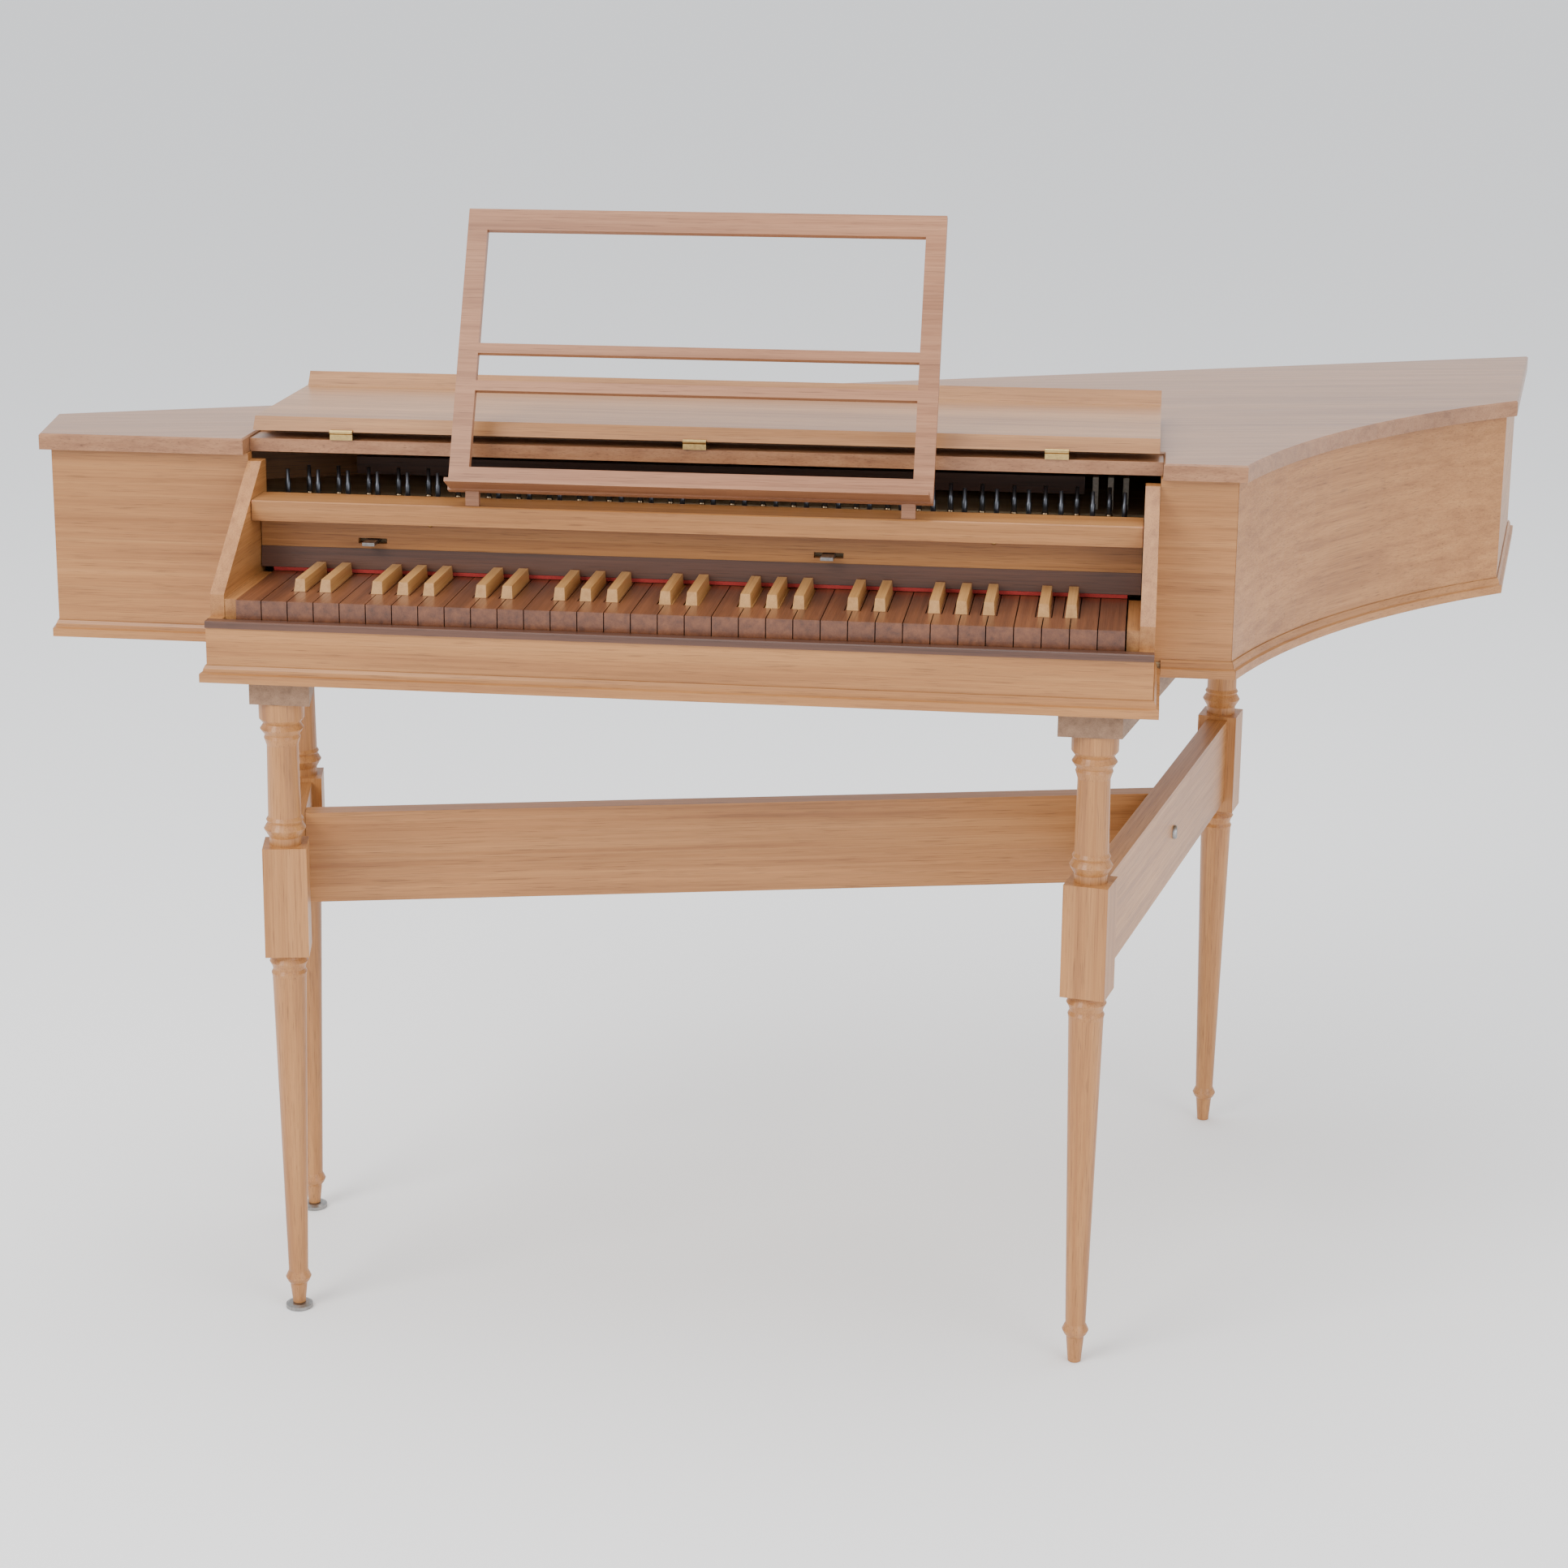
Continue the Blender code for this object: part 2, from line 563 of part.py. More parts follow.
def action_nodes():
    inner = WELL_HALF - CHEEK_THICK - 0.0008
    y = KEY_VISIBLE + STRIP_THICK + GAP
    board_foot = STRIP_FOOT
    board_top = BATTEN_TOP - BATTEN_THICK - GAP
    board = along_x("nameboard", rectangle(y, board_foot, y + NAMEBOARD_THICK, board_top), -inner, inner, OAK)
    slots = bmesh.new()
    for x in SLOT_CENTRES:
        add_box(slots, x - SLOT_LENGTH / 2, x + SLOT_LENGTH / 2, y - 0.01, y + NAMEBOARD_THICK + 0.01,
                SLOT_Z - SLOT_HEIGHT / 2, SLOT_Z + SLOT_HEIGHT / 2)
    combine(board, make_object("slots", slots, OAK, True), "DIFFERENCE")
    strip_top = STRIP_FOOT + STRIP_HEIGHT
    strip = [(KEY_VISIBLE, STRIP_FOOT), (y - GAP, STRIP_FOOT), (y - GAP, strip_top), (KEY_VISIBLE + 0.002, strip_top)]
    along_x("nameboard_strip", strip, -inner, inner, ROSEWOOD)
    batten = [(BATTEN_FRONT, BATTEN_TOP - BATTEN_THICK), (BATTEN_BACK, BATTEN_TOP - BATTEN_THICK),
              (BATTEN_BACK, BATTEN_TOP), (BATTEN_FRONT + 0.001, BATTEN_TOP), (BATTEN_FRONT, BATTEN_TOP - 0.001)]
    along_x("batten", batten, -inner, inner, OAK)
    for name, x in zip(("stop_lever_left", "stop_lever_right"), SLOT_CENTRES):
        bm = bmesh.new()
        add_box(bm, x - LEVER_LENGTH / 2, x + LEVER_LENGTH / 2, KEY_VISIBLE + STRIP_THICK - LEVER_REACH,
                y + NAMEBOARD_THICK + 0.001, SLOT_Z - LEVER_THICK / 2, SLOT_Z + LEVER_THICK / 2)
        set_origin(make_object(name, bm, STEEL), (x, y, SLOT_Z))
    plank = rectangle(BATTEN_BACK + GAP, PLANK_TOP - PLANK_THICK, PLANK_BACK, PLANK_TOP)
    plank_inner = WELL_HALF - CHEEK_THICK - 0.001
    along_x("wrestplank", plank, -plank_inner, plank_inner, SPRUCE)
    sound = case_outline(-BOARD - 0.0006, -(PLANK_BACK + 0.03 - PANEL_Y))
    plan("soundboard", sound[1:] if sound[0][1] > sound[1][1] else sound, SOUNDBOARD_TOP - SOUNDBOARD_THICK,
         SOUNDBOARD_TOP, SPRUCE)
    rail = rectangle(RAIL_Y, RAIL_TOP - RAIL_THICK, RAIL_Y + RAIL_WIDTH, RAIL_TOP)
    along_x("jack_rail", rail, -RAIL_END, RAIL_END, ROSEWOOD)


def lid_nodes():
    z0, z1 = CASE_TOP, CASE_TOP + LID_THICK
    out = LID_REACH
    left, _, tail = case_lines(out)
    _, spine, _ = case_lines(0.0)
    front_y = PANEL_Y - out
    front = ((-1.0, front_y), (1.0, front_y))
    bend = bentside_points(out, front_y, tail)[::-1]
    well = WELL_HALF + 0.002
    back = LID_RAIL_Y + LID_RAIL_DEPTH + GAP
    outline = [crossing(left, front), crossing(left, spine), crossing(spine, tail)] + bend
    outline += [(well, front_y), (well, back), (-well, back), (-well, front_y)]
    lid = plan("lid", outline, z0, z1, OAK)
    bevelled_edges(lid, z1)
    rail = rectangle(LID_RAIL_Y, z0, LID_RAIL_Y + LID_RAIL_DEPTH, z0 + LID_RAIL_THICK)
    along_x("lid_rail", rail, -well + GAP, well - GAP, OAK)


def bevelled_edges(obj, z):
    """A small round on the upper outer edge of a flat board."""
    bm = bmesh.new()
    bm.from_mesh(obj.data)
    edges = [e for e in bm.edges if all(abs(v.co.z - z) < 0.0001 for v in e.verts)]
    bmesh.ops.bevel(bm, geom=edges, offset=0.0015, segments=1, affect="EDGES", clamp_overlap=True)
    bm.to_mesh(obj.data)
    bm.free()


def slope_angle():
    rise = CHEEK_HEAD_Z - CHEEK_FOOT_Z
    return math.atan2(rise, CHEEK_HEAD_Y - CHEEK_FOOT_Y)


def flap_open_angle():
    """Turn from closed, against the cheeks, to lying back on the lid."""
    return math.pi + slope_angle()


def flap_closed_outline():
    """Section of the flap closed: slope board over the cheeks and the upright lip in front."""
    slope = slope_angle()
    c, s = math.cos(slope), math.sin(slope)
    inner0 = (CHEEK_FOOT_Y - s * FLAP_GAP, CHEEK_FOOT_Z + c * FLAP_GAP)

    def on_line(y, lift):
        base_y = inner0[0] - s * lift
        base_z = inner0[1] + c * lift
        return (y, base_z + (y - base_y) * s / c)

    lip_in = LIP_INNER_Y
    lip_out = lip_in - LIP_THICK
    foot = CAP_TOP + FLAP_GAP
    return [on_line(FLAP_EDGE_Y, 0.0), on_line(FLAP_EDGE_Y, FLAP_THICK), on_line(lip_out, FLAP_THICK),
            (lip_out, foot), (lip_in, foot), on_line(lip_in, 0.0)]


def turned(point, angle):
    """A Y-Z point turned about the flap's hinge."""
    y, z = point[0] - HINGE_Y, point[1] - HINGE_Z
    c, s = math.cos(angle), math.sin(angle)
    return (HINGE_Y + y * c - z * s, HINGE_Z + y * s + z * c)


def flap_nodes():
    angle = -flap_open_angle()
    section = [turned(p, angle) for p in flap_closed_outline()]
    flap = along_x("flap", section, -FLAP_HALF, FLAP_HALF, OAK)
    relief = bmesh.new()
    half = HINGE_LENGTH / 2 + GAP
    reach = KNUCKLE_RADIUS + 0.0006
    for x in HINGE_CENTRES:
        add_box(relief, x - half, x + half, HINGE_Y - 0.01, HINGE_Y + reach, HINGE_Z - 0.01, HINGE_Z + 0.03)
    combine(flap, make_object("relief", relief, OAK, True), "DIFFERENCE")
    set_origin(flap, (0.0, HINGE_Y, HINGE_Z))
    for side, x in zip(("left", "middle", "right"), HINGE_CENTRES):
        hinge_node(f"flap_hinge_{side}", x)


def hinge_node(name, x):
    """The knuckle and the leaf that is screwed to the rail."""
    steps = 16
    x0, x1 = x - HINGE_LENGTH / 2, x + HINGE_LENGTH / 2
    ring = [(HINGE_Y + KNUCKLE_RADIUS * math.cos(2 * math.pi * i / steps),
             HINGE_Z + KNUCKLE_RADIUS * math.sin(2 * math.pi * i / steps)) for i in range(steps)]
    hinge = along_x(name, ring, x0, x1, BRASS)
    leaf_z = CASE_TOP + LID_RAIL_THICK + GAP
    leaf = [(HINGE_Y - 0.0008, leaf_z), (HINGE_Y + LEAF_DEPTH, leaf_z),
            (HINGE_Y + LEAF_DEPTH, leaf_z + LEAF_THICK), (HINGE_Y + 0.0008, leaf_z + LEAF_THICK),
            (HINGE_Y + 0.0008, HINGE_Z), (HINGE_Y - 0.0008, HINGE_Z)]
    combine(hinge, along_x("leaf", leaf, x0, x1, BRASS, True), "UNION")
    smooth(hinge)


def desk_node():
    """The open frame, its two thin bars and the ledge, built upright and then leant back."""
    half = DESK_WIDTH / 2
    desk = along_y("music_desk", rectangle(-half, 0.0, half, DESK_HEIGHT), 0.0, DESK_THICK)
    holes = bmesh.new()
    inner = half - STILE
    low, mid = THIN_BAR_HEIGHTS
    levels = (BOTTOM_BAR, low - THIN_BAR / 2, low + THIN_BAR / 2, mid - THIN_BAR / 2, mid + THIN_BAR / 2,
              DESK_HEIGHT - TOP_BAR)
    for z0, z1 in zip(levels[0::2], levels[1::2]):
        add_box(holes, -inner, inner, -0.01, DESK_THICK + 0.01, z0, z1)
    combine(desk, make_object("holes", holes, OAK, True), "DIFFERENCE")
    ledge = half - LEDGE_INSET
    shelf = along_x("ledge", rectangle(-LEDGE_DEPTH, 0.001, 0.002, 0.001 + LEDGE_THICK), -ledge, ledge, OAK, True)
    combine(desk, shelf, "UNION")
    lean = Matrix.Rotation(-DESK_LEAN, 4, "X")
    desk.data.transform(Matrix.Translation((0.0, DESK_Y, DESK_Z)) @ lean)
    for x in (-DESK_FOOT_X, DESK_FOOT_X):
        bm = bmesh.new()
        add_box(bm, x - DESK_FOOT_HALF, x + DESK_FOOT_HALF, BATTEN_FRONT + 0.0025, BATTEN_FRONT + 0.0025 + DESK_FOOT_DEPTH,
                BATTEN_TOP + GAP, DESK_Z + OVERLAP)
        combine(desk, make_object("foot", bm, OAK, True), "UNION")


def along_y(name, outline, y0, y1):
    bm = bmesh.new()
    add_prism(bm, outline, lambda p: (p[0], y0, p[1]), lambda p: (p[0], y1, p[1]))
    return make_object(name, bm, OAK)


def leg_section(profile, turn):
    """A turned length of leg: rings of points joined up, closed at both ends."""
    bm = bmesh.new()
    rings = []
    for z, radius in profile:
        ring = [bm.verts.new((radius * math.cos(turn + 2 * math.pi * i / LEG_STEPS),
                              radius * math.sin(turn + 2 * math.pi * i / LEG_STEPS), z)) for i in range(LEG_STEPS)]
        rings.append(ring)
    for low, high in zip(rings, rings[1:]):
        for i in range(LEG_STEPS):
            j = (i + 1) % LEG_STEPS
            bm.faces.new((low[i], low[j], high[j], high[i]))
    bm.faces.new(rings[0])
    bm.faces.new(rings[-1])
    return bm


def leg_node(name, place, turn, foot):
    """A leg with its square block, turned to face along its end frame."""
    profile = [(foot, LEG_PROFILE[0][1])] + list(LEG_PROFILE)[1:]
    leg = make_object(name, leg_section(profile, turn), OAK)
    half = LEG_SIZE / 2
    bm = bmesh.new()
    c, s = math.cos(turn), math.sin(turn)
    square = [(c * a - s * b, s * a + c * b) for a, b in ((-half, -half), (half, -half), (half, half), (-half, half))]
    add_prism(bm, square, lambda p: (p[0], p[1], BLOCK_BOTTOM), lambda p: (p[0], p[1], BLOCK_TOP))
    combine(leg, make_object("block", bm, OAK, True), "UNION")
    smooth(leg)
    leg.location = (place[0], place[1], 0.0)


def frame_board(name, a, b, width, z0, z1, look, start, end):
    """A board along the line a-b in plan, drawn in at both ends by the lengths given."""
    ux, uy = unit(a, b)
    a = (a[0] + ux * start, a[1] + uy * start)
    b = (b[0] - ux * end, b[1] - uy * end)
    left = shifted(a, b, -width / 2)
    right = shifted(a, b, width / 2)
    return plan(name, [left[0], right[0], right[1], left[1]], z0, z1, look)


def bearer_node(name, front, back):
    """A bearer over two legs, with its front end cut along X."""
    top = CASE_BOTTOM - GAP
    foot = LEG_TOP + GAP
    right = shifted(front, back, BEARER_WIDTH / 2)
    left = shifted(front, back, -BEARER_WIDTH / 2)
    cut = ((-1.0, BEARER_FRONT), (1.0, BEARER_FRONT))
    ux, uy = unit(front, back)
    over = LEG_SIZE / 2 + 0.006
    outline = [crossing(left, cut), crossing(right, cut), (right[1][0] + ux * over, right[1][1] + uy * over),
               (left[1][0] + ux * over, left[1][1] + uy * over)]
    plan(name, outline, foot, top, OAK)


def stand_nodes():
    left_turn = math.atan2(FRONT_LEFT[0] - BACK_LEFT[0], BACK_LEFT[1] - FRONT_LEFT[1])
    right_turn = math.atan2(FRONT_RIGHT[0] - BACK_RIGHT[0], BACK_RIGHT[1] - FRONT_RIGHT[1])
    glide_top = GLIDE_THICK + GAP
    leg_node("leg_front_left", FRONT_LEFT, left_turn, glide_top)
    leg_node("leg_back_left", BACK_LEFT, left_turn, glide_top)
    leg_node("leg_front_right", FRONT_RIGHT, right_turn, 0.0)
    leg_node("leg_back_right", BACK_RIGHT, right_turn, 0.0)
    for name, place in (("glide_front_left", FRONT_LEFT), ("glide_back_left", BACK_LEFT)):
        profile = ((0.0, GLIDE_RADIUS), (GLIDE_THICK - 0.0015, GLIDE_RADIUS), (GLIDE_THICK, GLIDE_RADIUS - 0.003))
        glide = make_object(name, leg_section(profile, 0.0), STEEL)
        glide.location = (place[0], place[1], 0.0)
        smooth(glide)
    bearer_node("bearer_left", FRONT_LEFT, BACK_LEFT)
    bearer_node("bearer_right", FRONT_RIGHT, BACK_RIGHT)
    reach = LEG_SIZE / 2 + GAP
    for name, a, b in (("stretcher_left", FRONT_LEFT, BACK_LEFT), ("stretcher_right", FRONT_RIGHT, BACK_RIGHT)):
        frame_board(name, a, b, STRETCHER_THICK, STRETCHER_BOTTOM, STRETCHER_TOP, OAK, reach, reach)
    long_stretcher()


def long_stretcher():
    """The board between the two end frames, its ends cut along their inner faces."""
    left_face = shifted(FRONT_LEFT, BACK_LEFT, STRETCHER_THICK / 2 + GAP)
    right_face = shifted(FRONT_RIGHT, BACK_RIGHT, -STRETCHER_THICK / 2 - GAP)

    def at(line, share):
        (ax, ay), (bx, by) = line
        return (ax + (bx - ax) * share, ay + (by - ay) * share)

    a, b = at(left_face, LONG_LEFT_SHARE), at(right_face, LONG_RIGHT_SHARE)

    back = shifted(a, b, -STRETCHER_THICK + 0.001)
    outline = [a, b, crossing(back, right_face), crossing(back, left_face)]

    plan("stretcher_long", outline, STRETCHER_BOTTOM, STRETCHER_TOP - LONG_DROP, OAK)


def main():
    clear_scene()
    case_nodes()
    slip_nodes()
    cheek_nodes()
    keyboard_nodes()
    action_nodes()
    lid_nodes()
    flap_nodes()
    desk_node()
    stand_nodes()


main()
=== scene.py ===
import math
import random

import bpy
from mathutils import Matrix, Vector


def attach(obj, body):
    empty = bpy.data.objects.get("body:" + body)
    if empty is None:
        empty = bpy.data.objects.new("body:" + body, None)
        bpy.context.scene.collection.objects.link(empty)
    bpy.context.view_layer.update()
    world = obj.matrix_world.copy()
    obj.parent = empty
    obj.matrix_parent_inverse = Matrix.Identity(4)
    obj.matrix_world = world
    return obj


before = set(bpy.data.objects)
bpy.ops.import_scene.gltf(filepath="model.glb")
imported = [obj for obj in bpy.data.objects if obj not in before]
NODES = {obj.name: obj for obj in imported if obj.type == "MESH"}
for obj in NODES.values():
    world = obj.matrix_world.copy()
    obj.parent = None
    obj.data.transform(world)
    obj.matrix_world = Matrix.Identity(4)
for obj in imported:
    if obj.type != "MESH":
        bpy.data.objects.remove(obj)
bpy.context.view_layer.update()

# Camera fitted to the photograph: metres, degrees, millimetres and shares of the frame
CAMERA_PLACE = (0.3925, -2.5485, 1.2585)
CAMERA_TURN = (75.888, 0.05, 9.055)
CAMERA_LENS = 72.48
CAMERA_SENSOR = 36
CAMERA_SHIFT = (0.0829, -0.0687)

# Grain noises: scale along the grain and across it
BROAD_GRAIN = (1.3, 28.0)
BAND_GRAIN = (2.2, 150.0)
FIBRE_GRAIN = (9.0, 900.0)
PORE_GRAIN = (26.0, 1300.0)
BLOTCH_GRAIN = (2.5, 5.0)
WHITE = (1.0, 1.0, 1.0)
TONE_SHARE = 0.42
STREAK_SHARE = 0.55
BLOTCH_SHARE = 0.7
COAT_ROUGHNESS = 0.25

# Places on the CAD model that the added pieces stand on
PLANK_TOP = 0.7155
PIN_COUNT = 55
PIN_SPAN = 0.744
PIN_ROW_Y = 0.158
PIN_ROW_STEP = 0.022
PIN_STRAY = 0.0004
PIN_PROFILE = [(0.0, 0.0024), (0.022, 0.0024), (0.0225, 0.0019), (0.033, 0.0017)]
COIL_PROFILE = [(0.0, 0.0024), (0.0005, 0.0031), (0.003, 0.0031), (0.0035, 0.0024)]
COIL_LIFT = 0.006
JACK_COUNT = 3
JACK_X = 0.342
JACK_PITCH = 0.0135
JACK_WIDTH = 0.005
NAMEBOARD_SCREWS = (-0.234, 0.262)
HINGE_CENTRES = (-0.3187, -0.0015, 0.3127)
HINGE_SCREW_STEP = 0.006

# Soft edges on the boards
EDGE_WIDTH = 0.0006
EDGE_ANGLE = 40
NO_SOFT_EDGE = ("leg", "glide", "flap_hinge", "stop", "keys_")

# Where the sharps' tops are in the key groups
SHARP_ABOVE = 0.6632
SHARP_FRONT = 0.035
SHARP_BACK = 0.12

# Studio
FLOOR_HALF = 200
FLOOR_Z = -0.0005
MIDDLE = (0.05, 0.3, 0.6)


def node(tree, kind, **settings):
    """A new shader node, with each setting put on its socket or, where it has none, on the node."""
    made = tree.nodes.new(kind)
    for name, value in settings.items():
        if name in made.inputs:
            made.inputs[name].default_value = value
        else:
            setattr(made, name, value)
    return made


def ramp(tree, source, stops):
    """A colour ramp through the (place, colour) stops."""
    made = tree.nodes.new("ShaderNodeValToRGB")
    first, last = made.color_ramp.elements
    first.position, first.color = stops[0][0], (*stops[0][1], 1)
    last.position, last.color = stops[-1][0], (*stops[-1][1], 1)
    for place, colour in stops[1:-1]:
        made.color_ramp.elements.new(place).color = (*colour, 1)
    tree.links.new(source, made.inputs["Fac"])
    return made.outputs["Color"]


def mixed(tree, first, second, amount, blend="MIX"):
    """The colour first mixed with second by amount."""
    made = node(tree, "ShaderNodeMix", data_type="RGBA", blend_type=blend)
    made.inputs[0].default_value = amount
    tree.links.new(first, made.inputs[6])
    tree.links.new(second, made.inputs[7])
    return made.outputs[2]


def rough_from(tree, source, shader, low, high):
    """Roughness from low to high as the source goes from 0 to 1."""
    reach = node(tree, "ShaderNodeMapRange")
    reach.inputs["To Min"].default_value = low
    reach.inputs["To Max"].default_value = high
    tree.links.new(source, reach.inputs["Value"])
    tree.links.new(reach.outputs["Result"], shader.inputs["Roughness"])


def wood(name, pale, middle, dark, along, turn=0.0, rough=0.42, coat=0.15, pores=0.6):
    """Straight-grained wood. along is the axis of the grain, turn its angle in plan."""
    material = bpy.data.materials.new(name)
    material.use_nodes = True
    tree = material.node_tree
    shader = tree.nodes["Principled BSDF"]
    place = node(tree, "ShaderNodeTexCoord")
    rotate = node(tree, "ShaderNodeMapping", Rotation=(0.0, 0.0, -turn))
    tree.links.new(place.outputs["Object"], rotate.inputs["Vector"])

    def grain(scales, detail, roughness=0.55, distortion=0.0):
        long, cross = scales
        stretch = [cross, cross, cross]
        stretch["XYZ".index(along)] = long
        mapping = node(tree, "ShaderNodeMapping", Scale=stretch)
        tree.links.new(rotate.outputs["Vector"], mapping.inputs["Vector"])
        noise = node(tree, "ShaderNodeTexNoise", Scale=1.0, Detail=detail, Roughness=roughness,
                     Distortion=distortion)
        tree.links.new(mapping.outputs["Vector"], noise.inputs["Vector"])
        return noise.outputs["Fac"]

    broad = grain(BROAD_GRAIN, 3.0, 0.5, 0.25)
    bands = grain(BAND_GRAIN, 4.0, 0.6, 0.15)
    fibre = grain(FIBRE_GRAIN, 3.0, 0.7)
    pore = grain(PORE_GRAIN, 2.0, 0.6)
    blotch = grain(BLOTCH_GRAIN, 2.0, 0.5)
    colour = ramp(tree, bands, [(0.30, dark), (0.46, middle), (0.68, pale)])
    tone = ramp(tree, broad, [(0.30, tuple(0.72 * v for v in middle)), (0.7, pale)])
    colour = mixed(tree, colour, tone, TONE_SHARE)
    streak = ramp(tree, fibre, [(0.25, (0.62, 0.60, 0.58)), (0.6, WHITE)])
    colour = mixed(tree, colour, streak, STREAK_SHARE, "MULTIPLY")
    spots = ramp(tree, pore, [(0.33, (0.42, 0.38, 0.35)), (0.42, WHITE)])
    colour = mixed(tree, colour, spots, pores, "MULTIPLY")
    shade = ramp(tree, blotch, [(0.3, (0.82, 0.80, 0.78)), (0.7, (1.06, 1.04, 1.0))])
    colour = mixed(tree, colour, shade, BLOTCH_SHARE, "MULTIPLY")
    tree.links.new(colour, shader.inputs["Base Color"])
    rough_from(tree, fibre, shader, rough + 0.14, rough - 0.08)
    bump = node(tree, "ShaderNodeBump", Strength=0.25, Distance=0.0004)
    tree.links.new(pore, bump.inputs["Height"])
    second = node(tree, "ShaderNodeBump", Strength=0.12, Distance=0.0006)
    tree.links.new(bands, second.inputs["Height"])
    tree.links.new(bump.outputs["Normal"], second.inputs["Normal"])
    tree.links.new(second.outputs["Normal"], shader.inputs["Normal"])
    shader.inputs["Coat Weight"].default_value = coat
    shader.inputs["Coat Roughness"].default_value = COAT_ROUGHNESS
    return material


def plain(name, colour, rough, metal=0.0, spread=0.25, grain=400.0, bump_by=0.1):
    """A plain surface with worn variation in colour and gloss."""
    material = bpy.data.materials.new(name)
    material.use_nodes = True
    tree = material.node_tree
    shader = tree.nodes["Principled BSDF"]
    place = node(tree, "ShaderNodeTexCoord")
    noise = node(tree, "ShaderNodeTexNoise", Scale=grain, Detail=6.0, Roughness=0.6)
    tree.links.new(place.outputs["Object"], noise.inputs["Vector"])
    low = tuple(v * (1 - spread) for v in colour)
    tree.links.new(ramp(tree, noise.outputs["Fac"], [(0.35, low), (0.65, colour)]), shader.inputs["Base Color"])
    shader.inputs["Metallic"].default_value = metal
    rough_from(tree, noise.outputs["Fac"], shader, rough + 0.1, max(rough - 0.1, 0.05))
    bump = node(tree, "ShaderNodeBump", Strength=bump_by, Distance=0.0003)
    tree.links.new(noise.outputs["Fac"], bump.inputs["Height"])
    tree.links.new(bump.outputs["Normal"], shader.inputs["Normal"])
    return material


# Woods: pale, middle and dark
OAK = ((0.53, 0.245, 0.080), (0.42, 0.175, 0.050), (0.27, 0.095, 0.024))
LID = ((0.42, 0.205, 0.095), (0.33, 0.145, 0.062), (0.21, 0.078, 0.030))
FLAP = ((0.50, 0.25, 0.10), (0.40, 0.18, 0.065), (0.26, 0.10, 0.032))
DESK = ((0.46, 0.22, 0.115), (0.36, 0.155, 0.075), (0.23, 0.085, 0.036))
BEARER = ((0.34, 0.20, 0.12), (0.25, 0.14, 0.08), (0.15, 0.075, 0.04))
ROSEWOOD = ((0.23, 0.082, 0.032), (0.13, 0.042, 0.018), (0.035, 0.012, 0.008))
STRIP = ((0.13, 0.052, 0.028), (0.08, 0.03, 0.017), (0.03, 0.013, 0.01))
MAPLE = ((0.62, 0.34, 0.12), (0.53, 0.27, 0.085), (0.40, 0.18, 0.05))
SPRUCE = ((0.62, 0.46, 0.27), (0.50, 0.35, 0.19), (0.36, 0.23, 0.11))
SPINE_TURN = math.atan2(0.812 - 0.236, 0.7655 + 0.603)

oak_x = wood("oak along x", *OAK, "X")
oak_z = wood("oak upright", *OAK, "Z")
oak_y = wood("oak along y", *OAK, "Y")
oak_spine = wood("oak along the spine", *OAK, "X", SPINE_TURN)
oak_bend = wood("oak along the bend", *OAK, "X", math.radians(56))
oak_left = wood("oak of the left frame", *OAK, "Y", math.radians(11.5))
oak_right = wood("oak of the right frame", *OAK, "Y", math.radians(-11.3))
oak_long = wood("oak of the long stretcher", *OAK, "X", math.radians(13.5))
lid_wood = wood("lid oak", *LID, "X", SPINE_TURN * 0.5, rough=0.34, coat=0.35)
flap_wood = wood("flap oak", *FLAP, "X", rough=0.36, coat=0.3)
desk_wood = wood("desk oak", *DESK, "X", rough=0.45)
bearer_wood = wood("bearer oak", *BEARER, "Y", rough=0.6, coat=0.0)
rosewood = wood("rosewood", *ROSEWOOD, "Y", rough=0.3, coat=0.3)
rosewood_x = wood("rosewood along x", *STRIP, "X", rough=0.34, coat=0.2)
maple = wood("maple", *MAPLE, "Y", rough=0.35, coat=0.25, pores=0.25)
spruce = wood("spruce", *SPRUCE, "X", rough=0.6, coat=0.0)
brass = plain("brass", (0.62, 0.43, 0.17), 0.32, 1.0)
steel = plain("dull steel", (0.36, 0.35, 0.34), 0.38, 1.0)
blued = plain("blued steel", (0.09, 0.095, 0.11), 0.3, 0.9)
felt = plain("red felt", (0.42, 0.035, 0.03), 0.9, 0.0, 0.4, 1500.0, 0.8)
jack_white = plain("jack", (0.72, 0.68, 0.58), 0.45)
wire = plain("string wire", (0.42, 0.30, 0.18), 0.3, 1.0)

LOOKS = {
    oak_x: ("front_panel_left", "front_panel_right", "key_slip", "mould_left", "mould_right", "mould_slip",
            "nameboard", "batten"),
    oak_y: ("cheek_left", "cheek_right", "side_left", "tail", "mould_tail"),
    oak_z: ("leg_front_left", "leg_front_right", "leg_back_left", "leg_back_right"),
    oak_spine: ("spine",),
    oak_bend: ("bentside", "mould_bentside"),
    oak_left: ("stretcher_left",),
    oak_right: ("stretcher_right",),
    oak_long: ("stretcher_long",),
    lid_wood: ("lid", "lid_rail"),
    flap_wood: ("flap",),
    desk_wood: ("music_desk",),
    bearer_wood: ("bearer_left", "bearer_right"),
    rosewood_x: ("slip_cap", "nameboard_strip", "jack_rail"),
    spruce: ("soundboard", "key_frame", "wrestplank", "bottom_board"),
    brass: ("flap_hinge_left", "flap_hinge_middle", "flap_hinge_right"),
    steel: ("glide_front_left", "glide_back_left", "stop_lever_left", "stop_lever_right"),
}


